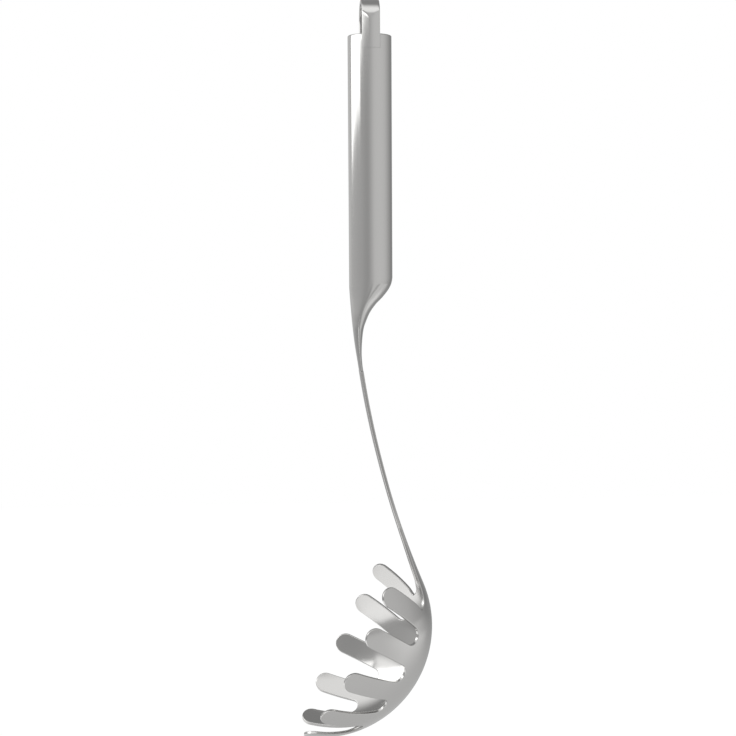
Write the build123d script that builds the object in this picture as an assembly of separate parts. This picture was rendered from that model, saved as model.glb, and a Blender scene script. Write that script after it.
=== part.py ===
from build123d import *
from math import asin, cos, pi, radians, sin, sqrt
import os

# Pasta server, all stainless steel, hanging upright: +Z up, the bowl opens towards -X,
# and the part is the same on both sides of the plane Y = 0. All lengths are millimetres.
# The origin is the underside of the hanging loop's crest, where a hook bears.

# Handle tube
tube_diameter = 19.0
tube_wall = 1.0
tube_length = 104.0
rim_rounding = 0.5
s_bend_and_neck_length = 41.0
neck_end_half_width = 6.3
neck_cover = 0.4
cavity_end_share = 0.45

# Levels down the S bend, how far the back still stands open there, and how round it still is
bend_level_shares = (0.0, 0.06, 0.12, 0.21, 0.29, 0.38, 0.46, 0.55, 0.72, 0.86, 1.0)
bend_open_shares = (1.0, 0.978, 0.914, 0.745, 0.544, 0.369, 0.26, 0.159, 0.059, 0.012, 0.0)

# Hanging loop
loop_width = 7.8
loop_thickness = 2.0
loop_rise = 15.5
loop_foot_depth = 6.0

# End cap
cap_thickness = 3.0
cap_recess = 0.4
cap_edge_rounding = 0.3

# Clearance between pieces that are pushed into one another
fit_clearance = 0.05

# Sheet of the head, its shank and its tang
sheet = 1.5
shank_width = 11.0
shank_bend_radius = 410.0
tang_width = 7.0
tang_length = 17.0

# Bowl: a piece of an ellipsoid that is round about a line along Y
bowl_radius = 49.5
bowl_half_width = 35.5
join_back = 22.1391
bowl_drop = 155.5
join_angle = 22.5
bowl_look_angle = 35.0

# Tines: width and length, and tip centres forward and up from the bowl's centre, as shares of the
# bowl's radius, and their rise in degrees
tine_width_share = 0.186
tine_root_overlap_share = 0.162
tine_run_shares = (0.343, 0.343, 0.343, 0.343, 0.283)
tip_x_shares = (0.594, 0.442, 0.257, 0.059, -0.081)
tip_z_shares = (0.366, 0.042, -0.338, -0.675, -0.917)
tine_rises = (42.4, 35.2, 21.7, 11.1, 3.1)

# Notches between the neck and the first pair of tines
neck_notch_radius_share = 0.06
neck_notch_x_share = 0.86
neck_notch_z_share = 0.253

# Neck: its sections down from the flat shank, as shares of its length, of the shank's width and of the
# bowl's own crown, and the width where it meets the bowl
flare_length = 27.0
flare_level_shares = (0.0, 0.35, 0.6, 0.8)
flare_width_shares = (1.0, 1.04, 1.14, 1.3)
flare_crown_shares = (0.0, 0.2, 0.42, 0.68)
join_width_share = 1.55

# One overrun serves all cuts
overrun = 6.0

# Sizes and places that follow from the sizes above
tine_width = tine_width_share * bowl_radius
tine_root_overlap = tine_root_overlap_share * bowl_radius
neck_notch_radius = neck_notch_radius_share * bowl_radius
tube_radius = tube_diameter / 2
rim_level = loop_thickness - loop_rise
bend_start = rim_level - tube_length
neck_end = bend_start - s_bend_and_neck_length
middle_radius = bowl_radius - sheet / 2
middle_half_width = bowl_half_width - sheet / 2
join_x = join_back
bowl_x = join_x - middle_radius * cos(radians(join_angle))
bowl_z = bend_start - bowl_drop
join_z = bowl_z + middle_radius * sin(radians(join_angle))
shank_centre_x = join_x + shank_bend_radius * cos(radians(join_angle))
shank_centre_z = join_z + shank_bend_radius * sin(radians(join_angle))
neck_half_width = join_width_share * shank_width / 2
join_plane = Plane(
    origin=(bowl_x, 0, bowl_z),
    x_dir=(cos(radians(join_angle)), 0, sin(radians(join_angle))),
    z_dir=(-sin(radians(join_angle)), 0, cos(radians(join_angle))),
)


def shank_lean(level, radius=shank_bend_radius):
    """Angle from upright, in radians, of an arc about the shank's bend centre where it crosses a level."""
    return asin((shank_centre_z - level) / radius)


def shank_x(level):
    """Middle of the shank's sheet at a level."""
    return shank_centre_x - shank_bend_radius * cos(shank_lean(level))


def section_at(level, half_width, front, back):
    """Oval section of the handle between its front and back lines."""
    place = Plane.XY.offset(level) * Pos((front + back) / 2, 0)
    return place * Ellipse((back - front) / 2, half_width)


def handle_front(level):
    """Front line of the handle: the tube's wall, then parallel to the shank."""
    return max(-tube_radius, shank_x(level) - sheet / 2 - neck_cover)


def bend_sections(inset, end_share):
    """Oval sections down the S bend, each drawn in by the inset."""
    sections = []
    for level_share, open_share in zip(bend_level_shares, bend_open_shares):
        if level_share > end_share:
            break
        level = bend_start - level_share * s_bend_and_neck_length
        closed_back = shank_x(level) + sheet / 2 + neck_cover
        back = closed_back + open_share * (tube_radius - closed_back)
        roundness = (1 + cos(pi * level_share)) / 2
        half_width = neck_end_half_width + roundness * (tube_radius - neck_end_half_width)
        section = section_at(level, half_width - inset, handle_front(level) + inset, back - inset)
        sections.append(section)
    return sections


def shank_band(thickness, width, high, low):
    """Strip of sheet along the shank's bend, cut level at the top and square to the bend below."""
    outer = shank_bend_radius + thickness / 2
    inner = shank_bend_radius - thickness / 2
    outer_start = shank_lean(high, outer)
    inner_start = shank_lean(high, inner)
    end = shank_lean(low)
    middle = (shank_lean(high) + end) / 2

    def spot(radius, lean):
        return (shank_centre_x - radius * cos(lean), 0, shank_centre_z - radius * sin(lean))

    outline = Wire([
        ThreePointArc(spot(outer, outer_start), spot(outer, middle), spot(outer, end)),
        Line(spot(outer, end), spot(inner, end)),
        ThreePointArc(spot(inner, end), spot(inner, middle), spot(inner, inner_start)),
        Line(spot(inner, inner_start), spot(outer, outer_start)),
    ])
    return extrude(Face(outline), width / 2, dir=(0, 1, 0), both=True)


def foot_block(growth):
    """One foot of the hanging loop with the given growth all round, on the -Y side."""
    depth = loop_foot_depth + growth
    block = Box(
        loop_width + 2 * growth,
        loop_thickness + growth + overrun,
        depth + overrun,
        align=(Align.CENTER, Align.MIN, Align.MIN),
    )
    inside = tube_radius - loop_thickness - growth
    return Pos(0, -inside - loop_thickness - growth - overrun, rim_level - depth) * block


def make_handle_tube():
    """Hollow handle: round tube, S bend to the front and a neck closed on the tang."""
    barrel = Pos(0, 0, bend_start) * Cylinder(
        tube_radius, tube_length, align=(Align.CENTER, Align.CENTER, Align.MIN)
    )
    bore = Pos(0, 0, bend_start) * Cylinder(
        tube_radius - tube_wall, tube_length + overrun, align=(Align.CENTER, Align.CENTER, Align.MIN)
    )
    rim = barrel.edges().filter_by(GeomType.CIRCLE).sort_by(Axis.Z)[-1]
    barrel = fillet(rim, rim_rounding)
    outside = barrel + loft(bend_sections(0, 1.0))
    inside = bore + loft(bend_sections(tube_wall, cavity_end_share))
    slot = shank_band(
        sheet + 2 * fit_clearance,
        tang_width + 2 * fit_clearance,
        neck_end + tang_length + fit_clearance,
        neck_end - overrun,
    )
    foot = foot_block(fit_clearance)
    return outside - inside - slot - foot - foot.mirror(Plane.XZ)


def make_end_cap():
    """Disc that closes the top of the tube, notched for the loop's feet."""
    radius = tube_radius - tube_wall - fit_clearance
    disc = Pos(0, 0, rim_level - cap_recess - cap_thickness) * Cylinder(
        radius, cap_thickness, align=(Align.CENTER, Align.CENTER, Align.MIN)
    )
    top = disc.edges().filter_by(GeomType.CIRCLE).sort_by(Axis.Z)[-1]
    disc = chamfer(top, cap_edge_rounding)
    foot = foot_block(fit_clearance)
    return disc - foot - foot.mirror(Plane.XZ)


def make_hanging_loop():
    """Stirrup of flat strip: two legs flush with the tube's outside, joined by a half round crest."""
    spring_level = loop_thickness - tube_radius
    foot_level = rim_level - loop_foot_depth
    inner_radius = tube_radius - loop_thickness
    outline = Wire([
        Line((0, -tube_radius, foot_level), (0, -tube_radius, spring_level)),
        ThreePointArc((0, -tube_radius, spring_level), (0, 0, loop_thickness), (0, tube_radius, spring_level)),
        Line((0, tube_radius, spring_level), (0, tube_radius, foot_level)),
        Line((0, tube_radius, foot_level), (0, inner_radius, foot_level)),
        Line((0, inner_radius, foot_level), (0, inner_radius, spring_level)),
        ThreePointArc((0, inner_radius, spring_level), (0, 0, 0), (0, -inner_radius, spring_level)),
        Line((0, -inner_radius, spring_level), (0, -inner_radius, foot_level)),
        Line((0, -inner_radius, foot_level), (0, -tube_radius, foot_level)),
    ])
    strip = extrude(Face(outline), loop_width / 2, dir=(1, 0, 0), both=True)
    ground = Pos(0, 0, foot_level - overrun) * Cylinder(
        tube_radius, loop_rise + loop_foot_depth + 2 * overrun, align=(Align.CENTER, Align.CENTER, Align.MIN)
    )
    return strip & ground


def on_bowl(x, z):
    """Point in the middle of the bowl's sheet, on the +Y side, that is seen at x, z from the side."""
    reach = ((x - bowl_x) ** 2 + (z - bowl_z) ** 2) / middle_radius**2
    return Vector(x, middle_half_width * sqrt(max(1 - reach, 0)), z)


def bowl_normal(point):
    """Outward direction of the bowl at a point."""
    return Vector(
        (point.X - bowl_x) / middle_radius**2,
        point.Y / middle_half_width**2,
        (point.Z - bowl_z) / middle_radius**2,
    ).normalized()


def tine_point(index, share):
    """Point on the bowl at a share of the way from the centre of a tine's round tip to its root."""
    rise = radians(tine_rises[index])
    run = share * tine_run_shares[index] * bowl_radius
    x = bowl_x + tip_x_shares[index] * bowl_radius + run * cos(rise)
    z = bowl_z + tip_z_shares[index] * bowl_radius - run * sin(rise)
    return on_bowl(x, z)


def tine_cutter(index):
    """Round ended bar, square to the bowl, that keeps one tine of the shell."""
    tip = tine_point(index, 0)
    root = tine_point(index, 1)
    middle = (tip + root) / 2
    normal = bowl_normal(middle)
    along = tip - root
    along = (along - normal * along.dot(normal)).normalized()
    plane = Plane(origin=middle, x_dir=along, z_dir=normal)
    reach = (tip - middle).dot(along)
    back = (root - middle).dot(along) - tine_root_overlap
    bar = Pos((reach + back) / 2, 0) * Rectangle(reach - back, tine_width)
    end = Pos(reach, 0) * Circle(tine_width / 2)
    return extrude(plane * (bar + end), overrun, both=True)


def notch_spots():
    """Centre and radius of each round notch root on the +Y side, from the neck to the end of the bowl."""
    spots = [(
        on_bowl(bowl_x + neck_notch_x_share * bowl_radius, bowl_z + neck_notch_z_share * bowl_radius),
        neck_notch_radius,
    )]
    roots = [tine_point(index, 1) for index in range(len(tine_rises))]
    for one, other in zip(roots, roots[1:]):
        middle = (one + other) / 2
        spots.append((on_bowl(middle.X, middle.Z), ((one - other).length - tine_width) / 2))
    last = roots[-1]
    out = sqrt((last.X - bowl_x) ** 2 + (last.Z - bowl_z) ** 2)
    end = Vector(
        bowl_x + (last.X - bowl_x) * middle_radius / out, 0, bowl_z + (last.Z - bowl_z) * middle_radius / out
    )
    spots.append((end, last.Y - tine_width / 2))
    return spots


def join_spot(radius, half_width=0.0):
    """Point on the join between neck and bowl, at a radius from the bowl's axis."""
    angle = radians(join_angle)
    return Vector(bowl_x + radius * cos(angle), half_width, bowl_z + radius * sin(angle))


def base_region():
    """Prism along the dish's depth whose outline runs through the centres of the notch roots."""
    look = radians(bowl_look_angle)
    plane = Plane(
        origin=(bowl_x, 0, bowl_z), x_dir=(-sin(look), 0, -cos(look)), z_dir=(cos(look), 0, -sin(look))
    )
    spots = [join_spot(bowl_radius - bowl_crown(neck_half_width), neck_half_width)]
    spots += [spot for spot, radius in notch_spots()]
    local = [plane.to_local_coords(spot) for spot in spots]
    half = [(spot.X, abs(spot.Y)) for spot in local]
    around = half + [(x, -y) for x, y in reversed(half[:-1])]
    high = half[0][0] - overrun
    outline = Wire([
        Spline(*around),
        Line(around[-1], (high, around[-1][1])),
        Line((high, around[-1][1]), (high, around[0][1])),
        Line((high, around[0][1]), around[0]),
    ])
    return extrude(plane * Face(outline), 2 * bowl_radius, dir=plane.z_dir)


def shell_section(half_width):
    """Section of the bowl's shell in a plane through its axis; x runs out from the axis, y along it."""
    turn = Rot(0, 0, 180)
    outer = turn * Ellipse(bowl_radius, bowl_half_width)
    inner = turn * Ellipse(bowl_radius - sheet, bowl_half_width - sheet)
    window = Pos(bowl_radius, 0) * Rectangle(2 * bowl_radius, 2 * half_width)
    return (outer - inner) & window


def squashed_ball(radius, half_width):
    """Ellipsoid about the bowl's centre, with its poles on the bowl's axis and its seam on the open side."""
    ball = scale(Sphere(radius), by=(1, 1, half_width / radius))
    return Pos(bowl_x, 0, bowl_z) * Rot(0, 180 - bowl_look_angle, 0) * Rot(90, 0, 0) * ball


def make_dish():
    """Bowl with its ten tines, cut from the shell of an ellipsoid."""
    hollow = squashed_ball(bowl_radius - sheet, bowl_half_width - sheet)
    shell = squashed_ball(bowl_radius, bowl_half_width) - hollow
    region = split(base_region(), bisect_by=join_plane, keep=Keep.BOTTOM)
    for index in range(len(tine_rises)):
        bar = tine_cutter(index)
        region += bar
        region += bar.mirror(Plane.XZ)
    for spot, radius in notch_spots():
        cutter = extrude(Plane(origin=spot, z_dir=bowl_normal(spot)) * Circle(radius), overrun, both=True)
        region -= cutter
        if spot.Y > 0:
            region -= cutter.mirror(Plane.XZ)
    return shell & region


def make_head():
    """Bowl with ten tines, neck, shank and tang, all of one sheet."""
    neck_low = join_z + flare_length
    root = join_plane * shell_section(neck_half_width)
    neck = loft(neck_sections(neck_low) + [root])
    shoulder = neck_end - fit_clearance
    shank = shank_band(sheet, shank_width, shoulder, neck_low)
    tang = shank_band(sheet, tang_width, neck_end + tang_length, shoulder - sheet)
    return make_dish() + neck + shank + tang


def crescent(plane, half_width, crown):
    """Section of the sheet, bent to a shallow arc with the given crown; its middle lies on the plane's origin."""
    high = sheet / 2
    if crown == 0:
        outer = Line((-half_width, high), (half_width, high))
        inner = Line((half_width, -high), (-half_width, -high))
    else:
        outer = ThreePointArc((-half_width, high - crown), (0, high), (half_width, high - crown))
        inner = ThreePointArc((half_width, -high - crown), (0, -high), (-half_width, -high - crown))
    right = Line((half_width, high - crown), (half_width, -high - crown))
    left = Line((-half_width, -high - crown), (-half_width, high - crown))
    return plane * Face(Wire([outer, right, inner, left]))


def neck_sections(neck_low):
    """Sections from the flat shank down to just above the bowl."""
    half = shank_width / 2
    join_crown = bowl_crown(neck_half_width)
    sections = []
    rows = zip(flare_level_shares, flare_width_shares, flare_crown_shares)
    for level_share, width_share, crown_share in rows:
        level = neck_low - level_share * flare_length
        lean = shank_lean(level)
        down = (sin(lean), 0, -cos(lean))
        plane = Plane(origin=(shank_x(level), 0, level), x_dir=(0, 1, 0), z_dir=down)
        sections.append(crescent(plane, half * width_share, crown_share * join_crown))
    return sections


def bowl_crown(half_width):
    """How far the dish's section has curved in at a half width."""
    return bowl_radius * (1 - sqrt(1 - (half_width / bowl_half_width) ** 2))


def main():
    os.makedirs("parts", exist_ok=True)
    pieces = {
        "head_and_shank": make_head(),
        "handle_tube": make_handle_tube(),
        "end_cap": make_end_cap(),
        "hanging_loop": make_hanging_loop(),
    }
    for name, piece in pieces.items():
        solids = piece.solids()
        print(name, len(solids), [round(solid.volume, 1) for solid in solids])
        export_step(piece, f"parts/{name}.step")


if __name__ == "__main__":
    main()
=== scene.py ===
"""Pasta server in satin stainless steel, dressed around its packed construction and set in a white studio."""

import logging
import math
from dataclasses import dataclass, field
from enum import Enum
from typing import Any

import bpy
import numpy as np
from mathutils import Matrix, Quaternion, Vector
from mathutils.geometry import delaunay_2d_cdt


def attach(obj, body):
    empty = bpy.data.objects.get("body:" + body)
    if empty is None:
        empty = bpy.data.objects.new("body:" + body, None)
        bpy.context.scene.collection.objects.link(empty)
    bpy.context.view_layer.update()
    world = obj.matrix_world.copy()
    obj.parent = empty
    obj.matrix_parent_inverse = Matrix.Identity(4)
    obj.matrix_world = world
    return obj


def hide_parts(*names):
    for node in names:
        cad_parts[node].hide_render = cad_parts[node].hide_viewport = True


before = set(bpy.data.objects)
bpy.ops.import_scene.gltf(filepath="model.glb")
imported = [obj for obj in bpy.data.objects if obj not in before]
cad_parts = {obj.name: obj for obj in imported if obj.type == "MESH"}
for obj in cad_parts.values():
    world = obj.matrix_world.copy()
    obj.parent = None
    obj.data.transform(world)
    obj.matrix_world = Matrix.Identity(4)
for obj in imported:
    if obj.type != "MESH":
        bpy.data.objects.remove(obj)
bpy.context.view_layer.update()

MM = 0.001
TINY = 1e-12
log = logging.getLogger("pasta_server")

Array = np.ndarray
Point = tuple[float, float, float]
Table = dict[Any, Any]


def unit(vectors: Array) -> Array:
    """Divides each row of x, y, z by its length."""
    length = np.linalg.norm(vectors, axis=-1, keepdims=True)
    return vectors / np.maximum(length, TINY)


def smooth_step(value: Array) -> Array:
    """Rises from 0 to 1 with level ends: 3 t squared minus 2 t cubed, for t held between 0 and 1."""
    t = np.clip(value, 0.0, 1.0)
    return t * t * (3.0 - 2.0 * t)


def smooth_table(at: Array, knots: Array, values: Array, level_ends: bool = False) -> Array:
    """Interpolates a table with a cubic that never overshoots.

    Each knot's slope is the harmonic mean of the slopes beside it, or zero where they differ in sign.
    Between knots the value is the Hermite cubic of the two values and the two slopes.

    Args:
        at: Where to read the table.
        knots: Rising knots.
        values: The value at each knot.
        level_ends: Whether the curve starts and ends level.

    Returns:
        The table's value at each place.
    """
    gap = np.diff(knots)
    slope = np.diff(values) / gap
    before, after = slope[:-1], slope[1:]
    same = before * after > 0.0
    harmonic = 2.0 * before * after / np.where(same, before + after, 1.0)
    inner = np.where(same, harmonic, 0.0)
    end_scale = 0.0 if level_ends else 1.0
    tangent = np.concatenate([slope[:1] * end_scale, inner, slope[-1:] * end_scale])
    index = np.clip(np.searchsorted(knots, at) - 1, 0, len(gap) - 1)
    width = gap[index]
    t = np.clip((at - knots[index]) / width, 0.0, 1.0)
    start = values[index] * (1.0 + 2.0 * t) * (1.0 - t) ** 2 + tangent[index] * width * t * (1.0 - t) ** 2
    end = values[index + 1] * t * t * (3.0 - 2.0 * t) + tangent[index + 1] * width * t * t * (t - 1.0)
    return start + end


def bezier(start: Array, start_handle: Array, end_handle: Array, end: Array, count: int) -> Array:
    """Cubic between two points, pulled by two handles.

    The four points are weighted by l cubed, 3 t l squared, 3 t squared l and t cubed, where t runs from
    0 to 1 and l is one minus t.

    Args:
        start: First end.
        start_handle: Handle of the first end.
        end_handle: Handle of the second end.
        end: Second end.
        count: Number of points between the two ends.

    Returns:
        The points between the two ends, one in each row.
    """
    t = np.linspace(0.0, 1.0, count + 2)[1:-1, None]
    left = 1 - t
    return left**3 * start + 3 * t * left**2 * start_handle + 3 * t**2 * left * end_handle + t**3 * end


def grid_quads(rings: int, columns: int) -> Array:
    """Quads between neighbouring rings of a grid that is stored ring after ring.

    Args:
        rings: Number of rings.
        columns: Number of points in a ring, which closes on itself.

    Returns:
        Four corner indices in each row.
    """
    first, column = np.meshgrid(np.arange(rings - 1) * columns, np.arange(columns), indexing="ij")
    beside = (column + 1) % columns
    corners = [first + column, first + beside, first + columns + beside, first + columns + column]
    return np.stack([corner.ravel() for corner in corners], axis=1)


def facing_out(points: Array, normals: Array, corners: Array) -> Array:
    """Turns faces the way of the normals at their corners.

    A face is turned round where its first edge crossed with its diagonal points against the sum of its
    corners' normals.

    Args:
        points: Rows of x, y, z.
        normals: Normal at each point.
        corners: Corner indices of one face in each row.

    Returns:
        The corner indices, reversed where the face was inside out.
    """
    first, second, third = points[corners[:, 0]], points[corners[:, 1]], points[corners[:, 2]]
    face_normal = np.cross(second - first, third - first)
    outward = np.sum(face_normal * normals[corners].sum(axis=1), axis=1) >= 0.0
    return np.where(outward[:, None], corners, corners[:, ::-1])


def make_object(name: str, points: Array, faces: list[list[int]], normals: Array | None = None) -> Any:
    """Puts points and faces into a new smooth shaded object at the origin.

    Args:
        name: Name of the object and its mesh.
        points: Rows of x, y, z in millimetres.
        faces: Corner indices of each face.
        normals: Normal of the surface at each point, or None for averaged ones.

    Returns:
        The new object.
    """
    mesh = bpy.data.meshes.new(name)
    mesh.from_pydata((points * MM).tolist(), [], faces)
    mesh.validate()
    mesh.polygons.foreach_set("use_smooth", np.ones(len(mesh.polygons), dtype=bool))
    if normals is not None:
        mesh.normals_split_custom_set_from_vertices(unit(normals).tolist())
    mesh.update()
    made = bpy.data.objects.new(name, mesh)
    bpy.context.scene.collection.objects.link(made)
    return made


def make_shell(name: str, points: Array, normals: Array, face_sets: list[Array]) -> Any:
    """Makes a closed object whose faces point the way of its normals, without the points that none uses.

    Args:
        name: Name of the object.
        points: Rows of x, y, z in millimetres.
        normals: Normal of the surface at each point.
        face_sets: Corner indices, one face in each row, for each kind of face.

    Returns:
        The new object.
    """
    used = np.zeros(len(points), dtype=bool)
    faces: list[list[int]] = []
    for corners in face_sets:
        used[corners] = True
    number = np.cumsum(used) - 1
    for corners in face_sets:
        faces += number[facing_out(points, normals, corners)].tolist()
    return make_object(name, points[used], faces, normals[used])


def bake_modifiers(piece: Any) -> None:
    """Replaces a piece's mesh with the result of its modifiers, and removes them.

    Args:
        piece: The object.
    """
    bpy.context.view_layer.update()
    evaluated = piece.evaluated_get(bpy.context.evaluated_depsgraph_get())
    mesh = bpy.data.meshes.new_from_object(evaluated)
    piece.modifiers.clear()
    piece.data = mesh


class Blend(Enum):
    """Way a ramp passes from one stop to the next, by Blender's name."""

    STRAIGHT = "LINEAR"
    EASED = "EASE"
    CURVED = "CARDINAL"


@dataclass(frozen=True)
class Ramp:
    """Grey levels at rising places from 0 to 1."""

    stops: tuple[tuple[float, float], ...]
    blend: Blend = Blend.EASED

    def fill(self, colour_ramp: Any) -> None:
        """Writes the stops into a new colour ramp, which has one at each end.

        Args:
            colour_ramp: Blender's colour ramp.
        """
        colour_ramp.interpolation = self.blend.value
        elements = colour_ramp.elements
        while len(elements) < len(self.stops):
            elements.new(0.5)
        for element, (place, level) in zip(elements, self.stops):
            element.position = place
            element.color = grey(level)


def grey(level: float) -> tuple[float, float, float, float]:
    """Opaque grey of a level, where 1 is white."""
    return (level, level, level, 1.0)


class Value:
    """A number that varies over a surface: a socket whose arithmetic adds Math nodes."""

    def __init__(self, board: "Board", socket: Any) -> None:
        """Keeps the node board and the socket that gives the number."""
        self.board = board
        self.socket = socket

    def __add__(self, other: Any) -> "Value":
        """Sum."""
        return self.board.math("ADD", self, other)

    def __radd__(self, other: Any) -> "Value":
        """Sum with a plain number first."""
        return self.board.math("ADD", other, self)

    def __sub__(self, other: Any) -> "Value":
        """Difference."""
        return self.board.math("SUBTRACT", self, other)

    def __rsub__(self, other: Any) -> "Value":
        """Difference from a plain number."""
        return self.board.math("SUBTRACT", other, self)

    def __mul__(self, other: Any) -> "Value":
        """Product."""
        return self.board.math("MULTIPLY", self, other)

    def __rmul__(self, other: Any) -> "Value":
        """Product with a plain number first."""
        return self.board.math("MULTIPLY", other, self)

    def __neg__(self) -> "Value":
        """The number with its sign changed."""
        return self * -1.0

    def toward(self, target: Any, share: Any) -> "Value":
        """Moves a share of the way to a target: self plus share times target less self."""
        return self + (target - self) * share


class Board:
    """Node tree of a material or a world."""

    def __init__(self, tree: Any) -> None:
        """Clears the tree and keeps it."""
        self.tree = tree
        tree.nodes.clear()

    def node(self, kind: str, settings: Table | None = None, inputs: Table | None = None) -> Any:
        """Adds one node, sets it and fills its sockets.

        Args:
            kind: Blender's type name of the node.
            settings: Properties that are set first. A Ramp fills the property that it is given for.
            inputs: Number, Value or socket for each input, by name or number.

        Returns:
            The node.
        """
        made = self.tree.nodes.new(kind)
        for name, value in (settings or {}).items():
            if isinstance(value, Ramp):
                value.fill(getattr(made, name))
            else:
                setattr(made, name, value)
        for name, value in (inputs or {}).items():
            source = value.socket if isinstance(value, Value) else value
            if isinstance(source, bpy.types.NodeSocket):
                self.tree.links.new(source, made.inputs[name])
            else:
                made.inputs[name].default_value = source
        return made

    def math(self, operation: str, first: Any, second: Any = 0.0) -> Value:
        """Result of a Math node on two numbers or values, by Blender's name of the operation."""
        made = self.node("ShaderNodeMath", {"operation": operation}, {0: first, 1: second})
        return Value(self, made.outputs[0])

    def split(self, vector: Any) -> tuple[Value, Value, Value]:
        """Splits a vector into its three parts."""
        parts = self.node("ShaderNodeSeparateXYZ", {}, {0: vector})
        return Value(self, parts.outputs[0]), Value(self, parts.outputs[1]), Value(self, parts.outputs[2])

    def read(self, ramp: Ramp, factor: Value) -> Value:
        """Grey level of a ramp at a factor."""
        made = self.node("ShaderNodeValToRGB", {"color_ramp": ramp}, {"Fac": factor})
        return Value(self, made.outputs["Color"])

    def mix(self, share: Any, first: Any, second: Any) -> Any:
        """Mixes two shaders' nodes, where a share of 1 is the second one."""
        return self.node("ShaderNodeMixShader", {}, {0: share, 1: first.outputs[0], 2: second.outputs[0]})


@dataclass(frozen=True)
class Fade:
    """Grey level that changes one way across a floor or a room.

    Shares of x, y and z are added up with an offset, and the sum is read from a ramp.
    """

    shares: Point
    ramp: Ramp
    offset: float = 0.0

    def over(self, board: Board, parts: tuple[Value, Value, Value]) -> Value:
        """Reads the fade from x, y and z of a place or a direction."""
        terms = [part * share for part, share in zip(parts, self.shares) if share]
        return board.read(self.ramp, sum(terms[1:], terms[0]) + self.offset)


class Grain(Enum):
    """Way the polishing lines run on a piece: how much a noise is stretched along x, y and z."""

    UP_THE_HANDLE = (1.0, 1.0, 0.03)
    DOWN_THE_SHEET = (0.3, 1.0, 0.08)
    ROUND_THE_LOOP = (1.0, 0.12, 0.12)
    EVEN = (1.0, 1.0, 1.0)


@dataclass(frozen=True)
class SatinSteel:
    """Stainless steel, polished with a fine belt: a metal with faint lines and slightly uneven gloss."""

    name: str
    grain: Grain
    colour: tuple[float, float, float] = (0.60, 0.595, 0.585)
    roughness: float = 0.14
    gloss_change: float = 0.04
    lines_per_metre: float = 900.0
    line_detail: float = 3.0
    line_roughness: float = 0.6
    line_depth: float = 0.00002
    line_relief: float = 0.25
    clouds_per_metre: float = 45.0
    cloud_detail: float = 2.0

    def material(self) -> Any:
        """Builds the material.

        The roughness is the finish's own plus two noises about zero: fine lines and wide clouds. The
        lines are also raised, by the line's depth.

        Returns:
            The new material.
        """
        made = bpy.data.materials.new(self.name)
        made.use_nodes = True
        board = Board(made.node_tree)
        place = board.node("ShaderNodeTexCoord").outputs["Object"]
        stretched = board.node("ShaderNodeMapping", {}, {"Vector": place, "Scale": self.grain.value})
        lines = board.node("ShaderNodeTexNoise", {}, {
            "Vector": stretched.outputs[0],
            "Scale": self.lines_per_metre,
            "Detail": self.line_detail,
            "Roughness": self.line_roughness,
        })
        clouds = board.node("ShaderNodeTexNoise", {}, {
            "Vector": place,
            "Scale": self.clouds_per_metre,
            "Detail": self.cloud_detail,
        })
        line, cloud = Value(board, lines.outputs[0]), Value(board, clouds.outputs[0])
        gloss = (line - 0.5) * self.gloss_change + (cloud - 0.5) * self.gloss_change + self.roughness
        bump = board.node("ShaderNodeBump", {}, {
            "Height": line,
            "Distance": self.line_depth,
            "Strength": self.line_relief,
        })
        shader = board.node("ShaderNodeBsdfPrincipled", {}, {
            "Base Color": (*self.colour, 1.0),
            "Metallic": 1.0,
            "Roughness": gloss,
            "Normal": bump.outputs[0],
        })
        board.node("ShaderNodeOutputMaterial", {}, {"Surface": shader.outputs[0]})
        return made

    def cover(self, piece: Any) -> None:
        """Gives a piece this finish in place of any other, and reports the piece.

        Args:
            piece: The object.
        """
        piece.data.materials.clear()
        piece.data.materials.append(self.material())
        log.info("%s: %d points", piece.name, len(piece.data.vertices))


@dataclass
class SteelPiece:
    """Piece of satin steel that stands for one node of the construction. Its sizes are in millimetres."""

    finish: SatinSteel
    node: str
    slot: str

    def dress(self, piece: Any) -> None:
        """Gives the new piece its finish and ties it to the construction.

        Args:
            piece: The object.
        """
        self.finish.cover(piece)
        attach(piece, "root")
        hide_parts(self.node)


@dataclass(frozen=True)
class Tine:
    """One tine of the right side: a strip of even width with a round tip, cut square to the bowl.

    Tip and rise are as they are seen from the side, and the run is the length that sets its plane.
    """

    tip_x: float
    tip_z: float
    rise: float
    width: float = 9.2
    run: float = 17.0


@dataclass(frozen=True)
class Notch:
    """Gap between two tines: where its round root is seen from the side, and the root's radius."""

    root_x: float
    root_z: float
    radius: float


@dataclass(frozen=True)
class TinePlane:
    """Plane of a tine, square to the bowl at the tine's middle.

    Along points to the tip, across points down the bowl, and reach is the tip's distance from the origin.
    """

    origin: Array
    along: Array
    across: Array
    normal: Array
    reach: float


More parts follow.
